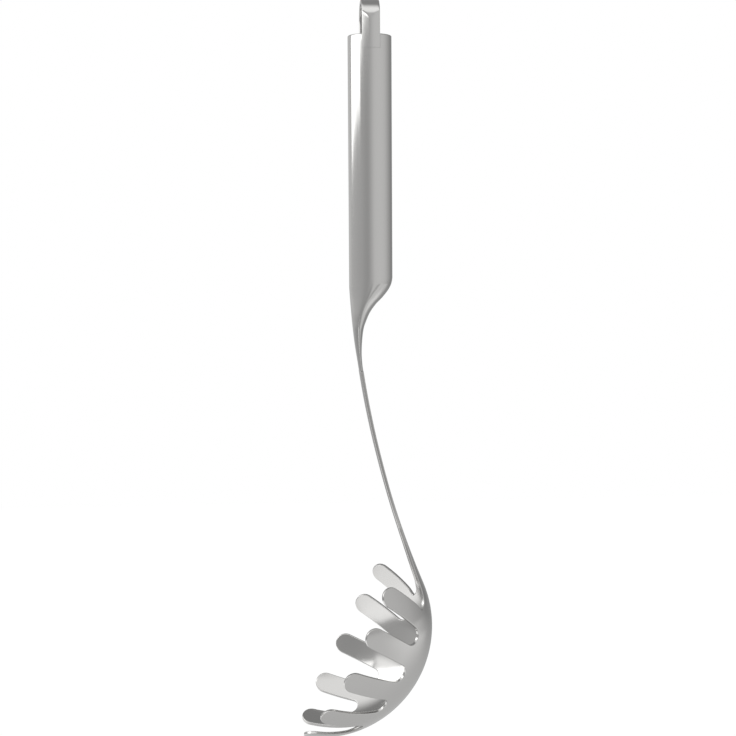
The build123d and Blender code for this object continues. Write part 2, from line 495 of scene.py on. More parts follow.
@dataclass
class PressedHead(SteelPiece):
    """Bowl, tines, neck, shank and tang, pressed from one sheet.

    The sheet's middle is one surface of two parameters. The first runs along the spine, from zero where
    neck and bowl meet, up the shank and down into the bowl. The second is the distance across, measured
    along the curve of the section. The spine is an arc round the bowl's axis, and then a wide arc the
    other way. A section is the bowl's ellipse, and flattens up the neck.

    The trough is the run of the spine over which the section flattens, and the neck's edge is a row of
    spine places with half widths. The pull shares are shares of the width of the gap beside the neck.
    The lattice's shares are shares of its spacing.
    """

    finish: SatinSteel = SatinSteel("head_satin", Grain.DOWN_THE_SHEET, (0.545, 0.54, 0.53))
    node: str = "head_and_shank"
    slot: str = "head_steel"
    sheet: float = 1.5
    edge: float = 0.4
    bowl_radius: float = 48.75
    bowl_half_width: float = 34.75
    bowl_x: float = -22.9
    bowl_z: float = -273.0
    join_angle: float = math.radians(22.5)
    bend_radius: float = 410.0
    trough: tuple[float, float] = (9.0, 62.0)
    neck_reach: float = 13.0
    shank_half_width: float = 5.5
    shank_end: float = 28.0
    tang_half_width: float = 3.5
    shoulder_level: float = -158.55
    tang_level: float = -141.5
    tines: tuple[Tine, ...] = (
        Tine(6.5, -254.9, 42.4),
        Tine(-1.0, -270.9, 35.2),
        Tine(-10.2, -289.7, 21.7),
        Tine(-20.0, -306.4, 11.1),
        Tine(-26.9, -318.4, 3.1, run=14.0),
    )
    notches: tuple[Notch, ...] = (
        Notch(17.4, -274.9, 3.7),
        Notch(11.9, -289.6, 4.0),
        Notch(3.6, -304.0, 3.9),
        Notch(-6.1, -314.8, 3.5),
    )
    neck_edge: tuple[tuple[float, float], ...] = (
        (27.0, 5.5), (20.5, 5.9), (15.6, 6.5), (10.7, 7.4), (5.8, 8.3), (1.0, 9.3), (-3.2, 10.6),
        (-6.2, 12.1), (-8.0, 14.3),
    )
    neck_gap_run: float = 4.5
    neck_pull_share: float = 0.26
    tine_pull_share: float = 0.5
    end_gap_root: float = -79.6
    end_gap_radius: float = 3.2
    outline_spacing: float = 0.55
    lattice_spacing: float = 1.05
    lattice_row_share: float = 0.9
    lattice_clear_share: float = 0.6
    lattice_blocks: int = 40
    slope_step: float = 0.01
    merge_distance: float = 1e-7
    table_points: int = 4000
    tang_points: int = 16
    shank_points: int = 90
    neck_points: int = 60
    tine_points: int = 26
    gap_points: int = 22
    neck_gap_points: int = 14
    edge_rings: int = 4
    across_table: Array = field(init=False, repr=False)
    arc_table: Array = field(init=False, repr=False)

    def __post_init__(self) -> None:
        """Tabulates the arc length of the bowl's section against the distance to the side.

        The section is an ellipse: half width times sine across, radius times cosine inward.
        """
        turn = np.linspace(0.0, math.pi / 2, self.table_points)
        across = self.bowl_half_width * np.sin(turn)
        inward = self.bowl_radius * np.cos(turn)
        self.across_table = across
        self.arc_table = np.concatenate([[0.0], np.cumsum(np.hypot(np.diff(across), np.diff(inward)))])

    def arc_of(self, y: Array) -> Array:
        """Arc length along the section, from the middle out to a distance y to the side."""
        return np.sign(y) * np.interp(np.abs(y), self.across_table, self.arc_table)

    def side_of(self, arc: Array) -> Array:
        """Distance to the side at an arc length along the section."""
        return np.sign(arc) * np.interp(np.abs(arc), self.arc_table, self.across_table)

    def bend_centre(self) -> tuple[float, float]:
        """Centre of the shank's wide arc: the bowl's centre, moved by both radii along the join angle.

        Returns:
            Its x and z.
        """
        cosine, sine = math.cos(self.join_angle), math.sin(self.join_angle)
        centre_x = self.bowl_x + self.bowl_radius * cosine + self.bend_radius * cosine
        centre_z = self.bowl_z + self.bowl_radius * sine + self.bend_radius * sine
        return centre_x, centre_z

    def middle(self, place: Array) -> Array:
        """Point of the sheet's middle for rows of spine place and section arc length.

        The spine's angle is the join angle plus place over radius in the bowl, and the join angle minus
        place over bend radius on the shank. The point is the spine's point, less the section's drop along
        the spine's normal, where the drop is radius times one minus the root of one minus y squared over
        half width squared, times a crown that falls smoothly from one to zero along the trough.

        Args:
            place: Rows of spine place and section arc length, in millimetres.

        Returns:
            Rows of x, y, z in millimetres.
        """
        along, arc = place[:, 0], place[:, 1]
        y = self.side_of(arc)
        on_neck = (along > 0.0) & (np.abs(y) < self.neck_reach)
        bowl_angle = self.join_angle + along / self.bowl_radius
        bend_angle = self.join_angle - along / self.bend_radius
        angle = np.where(on_neck, bend_angle, bowl_angle)
        normal_x, normal_z = np.cos(angle), np.sin(angle)
        bend_x, bend_z = self.bend_centre()
        radius = np.where(on_neck, -self.bend_radius, self.bowl_radius)
        spine_x = np.where(on_neck, bend_x, self.bowl_x) + radius * normal_x
        spine_z = np.where(on_neck, bend_z, self.bowl_z) + radius * normal_z
        share = np.clip(1.0 - (y / self.bowl_half_width) ** 2, 0.0, 1.0)
        low, high = self.trough
        crown = np.where(on_neck, 1.0 - smooth_step((along - low) / (high - low)), 1.0)
        drop = crown * self.bowl_radius * (1.0 - np.sqrt(share))
        return np.stack([spine_x - normal_x * drop, y, spine_z - normal_z * drop], axis=1)

    def slopes(self, place: Array) -> tuple[Array, Array]:
        """Change of the middle point per unit of each parameter, by central differences.

        Args:
            place: Rows of spine place and section arc length.

        Returns:
            The slopes along the spine and across it, as rows of x, y, z.
        """
        step = self.slope_step
        along = np.array([step, 0.0])
        across = np.array([0.0, step])
        by_along = (self.middle(place + along) - self.middle(place - along)) / (2 * step)
        by_across = (self.middle(place + across) - self.middle(place - across)) / (2 * step)
        return by_along, by_across

    def normal(self, place: Array) -> Array:
        """Outward normal: the across slope crossed with the along slope."""
        by_along, by_across = self.slopes(place)
        return unit(np.cross(by_across, by_along))

    def place_of(self, point: Array) -> Array:
        """Parameters of points on the bowl: angle round the bowl's axis, and arc length of y."""
        angle = np.arctan2(point[:, 2] - self.bowl_z, point[:, 0] - self.bowl_x)
        return np.stack([(angle - self.join_angle) * self.bowl_radius, self.arc_of(point[:, 1])], axis=1)

    def on_bowl(self, x: float, z: float) -> Array:
        """Point of the bowl's right side that is seen at x, z from the side."""
        reach = ((x - self.bowl_x) ** 2 + (z - self.bowl_z) ** 2) / self.bowl_radius**2
        return np.array([x, self.bowl_half_width * math.sqrt(max(1.0 - reach, 0.0)), z])

    def bowl_frame(self) -> tuple[Array, Array]:
        """Centre and half sizes of the bowl's ellipsoid."""
        half_sizes = np.array([self.bowl_radius, self.bowl_half_width, self.bowl_radius])
        return np.array([self.bowl_x, 0.0, self.bowl_z]), half_sizes

    def drop_on_bowl(self, point: Array, direction: Array) -> Array:
        """Moves points along a direction until they lie on the bowl's ellipsoid.

        In units of the half sizes the ellipsoid is a ball, and the move is the larger root of the
        quadratic for a length of one.

        Args:
            point: Rows of x, y, z.
            direction: The way to move.

        Returns:
            The moved points.
        """
        centre, half_sizes = self.bowl_frame()
        start, way = (point - centre) / half_sizes, direction / half_sizes
        a = np.dot(way, way)
        b = start @ way
        c = np.sum(start * start, axis=1) - 1.0
        root = np.sqrt(np.maximum(b * b - a * c, 0.0))
        return point + ((-b + root) / a)[:, None] * direction

    def tine_side(self, tine: Tine, run: float) -> Array:
        """Point of a tine's middle line, a run back from its tip as it is seen from the side."""
        rise = math.radians(tine.rise)
        return self.on_bowl(tine.tip_x + run * math.cos(rise), tine.tip_z - run * math.sin(rise))

    def tine_plane(self, tine: Tine) -> TinePlane:
        """Plane that touches the bowl at a tine's middle: its normal is the ellipsoid's slope there.

        Args:
            tine: The tine.

        Returns:
            The plane.
        """
        tip, root = self.tine_side(tine, 0.0), self.tine_side(tine, tine.run)
        origin = (tip + root) / 2
        centre, half_sizes = self.bowl_frame()
        normal = unit((origin - centre) / half_sizes**2)
        along = tip - root
        along = unit(along - normal * np.dot(along, normal))
        across = np.cross(along, normal)
        if across[2] > 0.0:
            across = -across
        return TinePlane(origin, along, across, normal, float(np.dot(tip - origin, along)))

    def tine_outline(self, tine: Tine, upper: Array, upper_run: float, lower: Array,
                     lower_run: float) -> Array:
        """Outline of a tine: its upper edge, its half round tip and its lower edge, dropped on the bowl.

        The tip is a half circle of the tine's half width about a point at the plane's reach.

        Args:
            tine: The tine.
            upper: Root of the gap above it.
            upper_run: How far past that root the upper edge starts, towards the tip.
            lower: Root of the gap below it.
            lower_run: How far past that root the lower edge ends, towards the tip.

        Returns:
            Rows of x, y, z, from the upper edge's start to the lower edge's end.
        """
        plane = self.tine_plane(tine)
        half = tine.width / 2
        start = float(np.dot(upper - plane.origin, plane.along)) + upper_run
        end = float(np.dot(lower - plane.origin, plane.along)) + lower_run
        near_run = np.linspace(start, plane.reach, self.tine_points)[:, None]
        far_run = np.linspace(plane.reach, end, self.tine_points)[:, None]
        turn = np.linspace(0.0, math.pi, self.tine_points + 2)[1:-1, None]
        tip_run = plane.reach + half * np.sin(turn)
        near = plane.origin + plane.along * near_run - plane.across * half
        tip = plane.origin + plane.along * tip_run - plane.across * half * np.cos(turn)
        far = plane.origin + plane.along * far_run + plane.across * half
        return self.drop_on_bowl(np.concatenate([near, tip, far]), plane.normal)

    def round_gap(self, start: Array, start_way: Array, end: Array, end_way: Array, root: Array) -> Array:
        """Round gap between two edges, through its root.

        It is one cubic. Its handles, four thirds of the gap's depth long, go on the way of the edges.

        Args:
            start: End of the first edge.
            start_way: Way the first edge goes there.
            end: Start of the second edge.
            end_way: Way back along the second edge there.
            root: The gap's deepest point.

        Returns:
            The points between the two edges.
        """
        middle = (start + end) / 2
        mean = (start_way + end_way) / 2
        reach = 4.0 / 3.0 * np.linalg.norm(root - middle) / np.linalg.norm(mean)
        return bezier(start, start + start_way * reach, end + end_way * reach, end, self.gap_points)

    def neck_gap(self, neck: Array, strip: Array) -> Array:
        """Gap between the neck and the first tine: one cubic, whose handles are shares of its width.

        Args:
            neck: Last two points of the neck's edge.
            strip: Outline of the first tine.

        Returns:
            The points between the neck and the tine.
        """
        start, end = neck[1], strip[0]
        gap_width = np.linalg.norm(end - start)
        start_handle = start + unit(neck[1] - neck[0]) * self.neck_pull_share * gap_width
        end_handle = end + unit(strip[0] - strip[1]) * self.tine_pull_share * gap_width
        return bezier(start, start_handle, end_handle, end, self.neck_gap_points)

    def along_at(self, level: float) -> float:
        """Spine place of a level on the shank: bend radius times the join angle less the angle there."""
        sine = (self.bend_centre()[1] - level) / self.bend_radius
        return (self.join_angle - math.asin(sine)) * self.bend_radius

    def shank_outline(self) -> Array:
        """Right edge of the tang and the shank, down to the neck.

        Returns:
            Rows of spine place and section arc length.
        """
        top, shoulder = self.along_at(self.tang_level), self.along_at(self.shoulder_level)
        tang_along = np.linspace(top, shoulder, self.tang_points)
        shank_along = np.linspace(shoulder, self.shank_end, self.shank_points)
        tang = np.stack([tang_along, np.full(self.tang_points, self.tang_half_width)], axis=1)
        shank = np.stack([shank_along, np.full(self.shank_points, self.shank_half_width)], axis=1)
        return np.concatenate([tang, shank])

    def neck_curve(self) -> Array:
        """Right edge of the neck: a smooth curve through its half widths.

        Returns:
            Rows of spine place and section arc length.
        """
        knots = np.array(self.neck_edge)
        order = np.arange(len(knots), dtype=float)
        at = np.linspace(0.0, len(knots) - 1.0, self.neck_points)
        along = smooth_table(at, order, knots[:, 0])
        side = smooth_table(at, order, knots[:, 1])
        return np.stack([along, self.arc_of(side)], axis=1)

    def half_outline(self) -> Array:
        """Outline of the right half of the sheet, from the top of the tang to the gap at the bowl's end.

        Returns:
            Rows of spine place and section arc length.
        """
        neck = self.neck_curve()
        neck_end = self.middle(neck[-2:])
        end_place = np.array([[self.end_gap_root, 0.0]])
        end_root = self.middle(end_place)[0]
        roots = [(self.on_bowl(notch.root_x, notch.root_z), notch.radius) for notch in self.notches]
        uppers = [(neck_end[1], self.neck_gap_run), *roots]
        lowers = [*roots, (end_root, self.end_gap_radius)]
        strips = [
            self.tine_outline(tine, *upper, *lower) for tine, upper, lower in zip(self.tines, uppers, lowers)
        ]
        rows = [self.neck_gap(neck_end, strips[0])]
        for strip, below, (root, _) in zip(strips, strips[1:], roots):
            way, back = unit(strip[-1] - strip[-2]), unit(below[0] - below[1])
            rows += [strip, self.round_gap(strip[-1], way, below[0], back, root)]
        last = strips[-1]
        way = unit(last[-1] - last[-2])
        mirror = np.array([1.0, -1.0, 1.0])
        whole = self.round_gap(last[-1], way, last[-1] * mirror, way * mirror, end_root)
        rows += [last, whole[: len(whole) // 2]]
        return np.concatenate([self.shank_outline(), neck, self.place_of(np.concatenate(rows)), end_place])

    def even_loop(self) -> Array:
        """Whole outline as an evenly spaced closed loop.

        Returns:
            Rows of spine place and section arc length, the first not repeated at the end.
        """
        half = self.half_outline()
        other = half[-2::-1] * np.array([1.0, -1.0])
        closed = np.concatenate([half, other, half[:1]])
        steps = np.linalg.norm(np.diff(self.middle(closed), axis=0), axis=1)
        length = np.concatenate([[0.0], np.cumsum(steps)])
        count = int(length[-1] / self.outline_spacing)
        at = np.linspace(0.0, length[-1], count, endpoint=False)
        return np.stack([np.interp(at, length, closed[:, 0]), np.interp(at, length, closed[:, 1])], axis=1)

    def inward(self, loop: Array) -> Array:
        """Direction into the sheet, along its middle: the normal crossed with the outline's tangent.

        The sign of the loop's area says which way round it goes.

        Args:
            loop: The outline's parameters.

        Returns:
            The direction at each point of the outline.
        """
        spots = self.middle(loop)
        tangent = unit(np.roll(spots, -1, axis=0) - np.roll(spots, 1, axis=0))
        way = unit(np.cross(self.normal(loop), tangent))
        area = np.sum(loop[:, 0] * np.roll(loop[:, 1], -1) - loop[:, 1] * np.roll(loop[:, 0], -1))
        return way if area < 0.0 else -way

    def shifted(self, loop: Array, way: Array, distance: float) -> Array:
        """Parameters of points a distance along a direction in the sheet.

        The two slopes' dot products with each other and with the move make two equations, which are
        solved for the two parameters.

        Args:
            loop: Parameters of the points.
            way: Direction at each point.
            distance: How far the points move.

        Returns:
            The new parameters.
        """
        by_along, by_across = self.slopes(loop)
        aa = np.sum(by_along * by_along, axis=1)
        ab = np.sum(by_along * by_across, axis=1)
        bb = np.sum(by_across * by_across, axis=1)
        wa = np.sum(way * by_along, axis=1) * distance
        wb = np.sum(way * by_across, axis=1) * distance
        whole = aa * bb - ab * ab
        return loop + np.stack([(wa * bb - wb * ab) / whole, (wb * aa - wa * ab) / whole], axis=1)

    def lattice(self, ring: Array) -> Array:
        """Even lattice of parameters inside a ring, kept clear of it.

        A point is inside where a line from it, up the spine, crosses the ring an odd number of times.

        Args:
            ring: Parameters of the ring.

        Returns:
            Parameters of the lattice's points.
        """
        low, high = ring.min(axis=0), ring.max(axis=0)
        columns = np.arange(low[1], high[1], self.lattice_spacing)
        rows = np.arange(low[0], high[0], self.lattice_spacing * self.lattice_row_share)
        grid_row, grid_column = np.meshgrid(rows, columns, indexing="ij")
        grid_column = grid_column + (np.arange(len(rows)) % 2)[:, None] * self.lattice_spacing / 2
        points = np.stack([grid_row.ravel(), grid_column.ravel()], axis=1)
        start, end = ring, np.roll(ring, -1, axis=0)
        rise = np.where(end[:, 1] == start[:, 1], 1.0, end[:, 1] - start[:, 1])
        inside = np.zeros(len(points), dtype=bool)
        nearest = np.full(len(points), np.inf)
        for block in np.array_split(np.arange(len(points)), self.lattice_blocks):
            along, across = points[block, 0][:, None], points[block, 1][:, None]
            crosses = (start[:, 1] > across) != (end[:, 1] > across)
            at = start[:, 0] + (across - start[:, 1]) * (end[:, 0] - start[:, 0]) / rise
            inside[block] = (np.sum(crosses & (along < at), axis=1) % 2) == 1
            nearest[block] = np.min(np.hypot(along - start[:, 0], across - start[:, 1]), axis=1)
        return points[inside & (nearest > self.lattice_clear_share * self.lattice_spacing)]

    def cut_edge(self, loop: Array, way: Array) -> tuple[Array, Array]:
        """Rings of points round the cut edge, from the outer face to the inner one.

        The profile is a quarter circle from each face, with a flat between them: distance inwards is edge
        times one minus cosine, height is half the sheet less edge times one minus sine.

        Args:
            loop: The outline's parameters.
            way: Direction into the sheet at each point of the outline.

        Returns:
            Points and normals, ring after ring.
        """
        turns = np.linspace(math.pi / 2, 0.0, self.edge_rings)
        points, normals = [], []
        for side, quarter in ((1.0, turns), (-1.0, turns[::-1])):
            for turn in quarter:
                ring = self.shifted(loop, way, self.edge * (1.0 - math.cos(turn)))
                up = self.normal(ring)
                height = self.sheet / 2 - self.edge * (1.0 - math.sin(turn))
                points.append(self.middle(ring) + up * height * side)
                normals.append(-way * math.cos(turn) + up * math.sin(turn) * side)
        return np.concatenate(points), np.concatenate(normals)

    def triangulated(self, ring: Array) -> tuple[Array, Array]:
        """Fills a ring with even triangles: the Delaunay triangles of ring and lattice that lie inside it.

        Args:
            ring: Parameters of the ring.

        Returns:
            Parameters of all the points, the ring's first, and three corner indices for each triangle.

        Raises:
            ValueError: If the ring crosses itself.
        """
        flat = np.concatenate([ring, self.lattice(ring)])
        order = np.arange(len(ring))
        borders = np.stack([order, np.roll(order, -1)], axis=1).tolist()
        inside_only = 1
        found = delaunay_2d_cdt(flat.tolist(), borders, [], inside_only, self.merge_distance)
        if len(found[0]) != len(flat):
            raise ValueError("the outline of the head crosses itself")
        return np.array(found[0]), np.array(found[2])

    def build(self) -> Any:
        """Builds the sheet: two faces, half the sheet's thickness off its middle, and the cut edge.

        Returns:
            The head object.
        """
        loop = self.even_loop()
        way = self.inward(loop)
        edge_points, edge_normals = self.cut_edge(loop, way)
        places, triangles = self.triangulated(self.shifted(loop, way, self.edge))
        spots, up = self.middle(places), self.normal(places)
        half = self.sheet / 2
        points = np.concatenate([edge_points, spots + up * half, spots - up * half])
        normals = np.concatenate([edge_normals, up, -up])
        count, base = len(loop), len(edge_points)
        order = np.arange(len(places))
        outer = np.where(order < count, order, base + order)
        inner = np.where(order < count, base - count + order, base + len(places) + order)
        sheet_faces = np.stack([outer[triangles], inner[triangles]], axis=1).reshape(-1, 3)
        return make_shell("head", points, normals, [grid_quads(base // count, count), sheet_faces])


@dataclass
class HandleTube(SteelPiece):
    """Hollow handle: a round tube, drawn over to the front in an S bend and closed on the shank.

    The bend's centre and radius follow the shank's wide arc. At the neck the wall thins to a lip.
    """

    finish: SatinSteel = SatinSteel("handle_satin", Grain.UP_THE_HANDLE)
    node: str = "handle_tube"
    slot: str = "handle_steel"
    radius: float = 9.5
    wall: float = 1.0
    rim_level: float = -13.5
    rim_rounding: float = 0.5
    bend_level: float = -117.5
    neck_level: float = -158.5
    neck_half_width: float = 6.3
    cover: float = 0.4
    lip: float = 0.12
    lip_length: float = 15.0
    sheet: float = PressedHead.sheet
    bend_radius: float = PressedHead.bend_radius
    bend_x: float = 400.917
    bend_z: float = -97.443
    open_levels: tuple[float, ...] = (0.0, 0.06, 0.12, 0.21, 0.29, 0.38, 0.46, 0.55, 0.72, 0.86, 1.0)
    open_shares: tuple[float, ...] = (1.0, 0.978, 0.914, 0.745, 0.544, 0.369, 0.26, 0.159, 0.059, 0.012, 0.0)
    inset_share: float = 0.6
    bore_steps: tuple[float, ...] = (0.0, 4.0, 8.0)
    bore_end: float = 8.0
    foot_width: float = 7.9
    foot_depth: float = 6.05
    foot_inside: float = 7.45
    foot_outside: float = 12.0
    foot_overrun: float = 3.0
    sharp_angle: float = math.radians(35)
    columns: int = 160
    bend_rings: int = 90
    barrel_rings: int = 44
    rim_rings: int = 5

    def shank_x(self, level: Array) -> Array:
        """Middle of the shank at a level: centre less the root of radius squared less height squared."""
        return self.bend_x - np.sqrt(self.bend_radius**2 - (self.bend_z - level) ** 2)

    def lines(self, level: Array) -> tuple[Array, Array, Array]:
        """Front line, back line and half width at each level.

        The front is the tube's own line until the shank's face, plus its cover, is further forward. The
        back goes from the tube's line to the shank's by a table of shares. The half width goes from the
        tube's radius to the neck's by half of one plus the cosine of the share of the bend.

        Args:
            level: Levels.

        Returns:
            x of the front, x of the back and half width.
        """
        share = np.clip((self.bend_level - level) / (self.bend_level - self.neck_level), 0.0, 1.0)
        shank = self.shank_x(level)
        cover = self.lip + (self.cover - self.lip) * smooth_step((level - self.neck_level) / self.lip_length)
        near = shank - self.sheet / 2 - cover
        front = np.where(level > self.bend_level, -self.radius, np.maximum(-self.radius, near))
        closed = shank + self.sheet / 2 + cover
        opened = smooth_table(share, np.array(self.open_levels), np.array(self.open_shares), level_ends=True)
        back = closed + opened * (self.radius - closed)
        roundness = (1.0 + np.cos(math.pi * share)) / 2
        half = self.neck_half_width + roundness * (self.radius - self.neck_half_width)
        return front, back, half

    def rings(self, level: Array, inset: Array) -> Array:
        """Oval rings: the middle of front and back plus the half sizes times cosine and sine.

        Args:
            level: Level of each ring.
            inset: How far each ring lies inside the outer surface.

        Returns:
            Rows of x, y, z for each ring.
        """
        front, back, half = self.lines(level)
        turn = np.linspace(0.0, 2 * math.pi, self.columns, endpoint=False)
        middle, reach = (front + back) / 2, (back - front) / 2
        inset = np.minimum(inset, np.minimum(reach, half) * self.inset_share)
        x = middle[:, None] + (reach - inset)[:, None] * np.cos(turn)
        y = (half - inset)[:, None] * np.sin(turn)
        return np.stack([x, y, np.broadcast_to(level[:, None], x.shape)], axis=2)

    def build(self) -> Any:
        """Builds the tube with its rounded rim, wall and two notches for the loop's feet.

        The rim's profile is a quarter circle: down by rounding times one minus sine, in by rounding times
        one minus cosine.

        Returns:
            The tube object.
        """
        turn = np.linspace(0.0, math.pi / 2, self.rim_rings)[1:]
        bend = np.linspace(self.neck_level, self.bend_level, self.bend_rings)
        barrel = np.linspace(self.bend_level, self.rim_level - self.rim_rounding, self.barrel_rings)[1:]
        rim = self.rim_level - self.rim_rounding * (1 - np.sin(turn))
        bore = self.rim_level - np.array(self.bore_steps)
        bore_bottom = self.bend_level - np.array([0.0, self.bore_end])
        level = np.concatenate([bend, barrel, rim, bore, bore_bottom])
        outside = np.zeros(len(bend) + len(barrel))
        inside = np.full(len(bore) + len(bore_bottom), self.wall)
        inset = np.concatenate([outside, self.rim_rounding * (1 - np.cos(turn)), inside])
        points = self.rings(level, inset).reshape(-1, 3)
        neck_end = list(range(self.columns))[::-1]
        bore_floor = list(range(len(points) - self.columns, len(points)))
        faces = grid_quads(len(level), self.columns).tolist() + [neck_end, bore_floor]
        made = make_object("handle", points, faces)
        for side in (-1.0, 1.0):
            self.cut_foot_notch(made, side)
        made.data.set_sharp_from_angle(angle=self.sharp_angle)
        return made

    def cut_foot_notch(self, tube: Any, side: float) -> None:
        """Cuts the notch for one foot of the loop through the wall.

        Args:
            tube: The tube object.
            side: 1 for the right side, -1 for the left.
        """
        half = self.foot_width / 2
        sides = sorted((side * self.foot_inside, side * self.foot_outside))
        levels = (self.rim_level - self.foot_depth, self.rim_level + self.foot_overrun)
        corners = np.stack(np.meshgrid((-half, half), sides, levels, indexing="ij"), axis=-1).reshape(-1, 3)
        faces = [[0, 1, 3, 2], [4, 6, 7, 5], [0, 4, 5, 1], [2, 3, 7, 6], [0, 2, 6, 4], [1, 5, 7, 3]]
        cutter = make_object("foot_cutter", corners, faces)
        cut = tube.modifiers.new("notch", "BOOLEAN")
        cut.operation = "DIFFERENCE"
        cut.solver = "EXACT"
        cut.object = cutter
        bake_modifiers(tube)
        bpy.data.objects.remove(cutter)


@dataclass
class HangingLoop(SteelPiece):
    """Stirrup of flat strip: two legs and a half round crest, its legs flush with the tube's outside."""

    finish: SatinSteel = SatinSteel("loop_satin", Grain.ROUND_THE_LOOP)
    node: str = "hanging_loop"
    slot: str = "loop_steel"
    width: float = 7.8
    thickness: float = 2.0
    radius: float = HandleTube.radius
    crest: float = 2.0
    foot_level: float = -19.5
    edge: float = 0.35
    sharp_angle: float = math.radians(40)
    corner_points: int = 5
    side_points: int = 11
    leg_rings: int = 14
    crest_rings: int = 49

    def section(self) -> tuple[Array, Array]:
        """Rounded rectangle: four quarter circles, with points along the two wide sides.

        Returns:
            Places along x and outwards.
        """
        half, deep, edge = self.width / 2, self.thickness / 2, self.edge
        corner = np.linspace(0.0, math.pi / 2, self.corner_points)
        side = np.linspace(-half + edge, half - edge, self.side_points)[1:-1]
        parts = []
        for quarter, (way_x, way_out) in enumerate(((1, 1), (-1, 1), (-1, -1), (1, -1))):
            turn = corner + quarter * math.pi / 2
            round_x = way_x * (half - edge) + edge * np.cos(turn)
            round_out = way_out * (deep - edge) + edge * np.sin(turn)
            parts.append(np.stack([round_x, round_out]))
            if way_x == way_out:
                parts.append(np.stack([side[::-way_x], np.full(len(side), way_out * deep)]))
        x, out = np.concatenate(parts, axis=1)
        return x, out

    def build(self) -> Any:
        """Carries the section up one leg, over the crest and down the other.

        The path is a straight leg, a half circle about the height where the legs end, and the other leg.
        Points outside the tube's radius are drawn in to it.

        Returns:
            The loop object.
        """
        across, out = self.section()
        middle = self.radius - self.thickness / 2
        spring = self.crest - self.radius
        leg = np.linspace(self.foot_level, spring, self.leg_rings)[:-1]
        turn = np.linspace(0.0, math.pi, self.crest_rings)
        still, ones = np.zeros(len(leg)), np.ones(len(leg))
        way_y = np.concatenate([-ones, -np.cos(turn), ones])
        way_z = np.concatenate([still, np.sin(turn), still])
        path_y = middle * way_y
        path_z = np.concatenate([leg, spring + middle * np.sin(turn), leg[::-1]])
        x = np.broadcast_to(across, (len(path_y), len(across)))
        y = path_y[:, None] + way_y[:, None] * out
        z = path_z[:, None] + way_z[:, None] * out
        limit = np.sqrt(self.radius**2 - x**2)
        points = np.stack([x, np.clip(y, -limit, limit), z], axis=2).reshape(-1, 3)
        first_foot = list(range(len(across)))[::-1]
        last_foot = list(range(len(points) - len(across), len(points)))
        faces = grid_quads(len(path_y), len(across)).tolist() + [first_foot, last_foot]
        made = make_object("loop", points, faces)
        made.data.set_sharp_from_angle(angle=self.sharp_angle)
        return made


@dataclass(frozen=True)
class StudioCamera:
    """Camera at the photograph's place: the way it faces, in metres and unit vectors, and its lens."""

    place: Point = (-0.0492, -0.646, -0.10246)
    right: Point = (0.99722768, -0.07420934, -0.0054705)
    up: Point = (0.0117261, 0.0841251, 0.9963862)
    forward: Point = (0.07348096, 0.99368805, -0.08476207)
    lens: float = 72.18
    sensor: float = 36.0
    nearest: float = 0.01

    def set_up(self) -> None:
        """Makes the camera and gives it to the scene."""
        data = bpy.data.cameras.new("camera")
        data.sensor_width = self.sensor
        data.sensor_fit = "HORIZONTAL"
        data.lens = self.lens
        data.clip_start = self.nearest
        made = bpy.data.objects.new("camera", data)
        bpy.context.scene.collection.objects.link(made)
        turn = Matrix((Vector(self.right), Vector(self.up), -Vector(self.forward))).transposed().to_4x4()
        turn.translation = Vector(self.place)
        made.matrix_world = turn
        bpy.context.scene.camera = made


